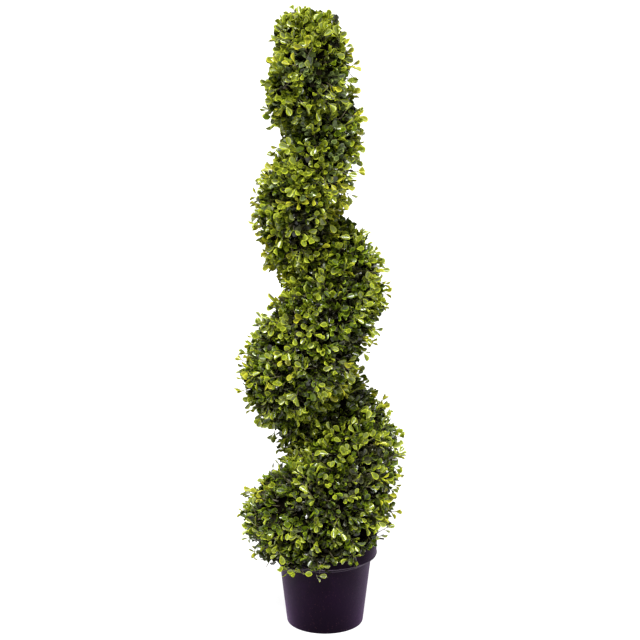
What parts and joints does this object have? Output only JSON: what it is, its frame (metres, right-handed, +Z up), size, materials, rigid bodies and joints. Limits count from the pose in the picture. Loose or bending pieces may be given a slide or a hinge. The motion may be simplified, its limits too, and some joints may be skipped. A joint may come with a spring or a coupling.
{
  "type": "spiral topiary",
  "caption": "Artificial box plant cut to a spiral round a slim trunk, standing in a plain round plastic nursery pot",
  "frame": {"origin": "centre of the pot's flat underside, on the ground", "axes": "+Z up along the plant, +X to the right as in the picture, -Y towards the viewer; the trunk leans a little to -X"},
  "size_m": [0.2431, 0.2401, 0.932],
  "materials": {
    "pot_plastic": "satin",
    "filling": "matte",
    "trunk_wood": "matte",
    "foliage": "satin"
  },
  "bodies": {
    "root": {"pot": "pot_plastic", "pot_filling": "filling", "trunk": "trunk_wood", "foliage_foot": "foliage", "foliage_half_turn_1": "foliage", "foliage_half_turn_2": "foliage", "foliage_half_turn_3": "foliage", "foliage_half_turn_4": "foliage", "foliage_half_turn_5": "foliage", "foliage_half_turn_6": "foliage", "foliage_half_turn_7": "foliage", "foliage_tip": "foliage"}
  },
  "joints": []
}
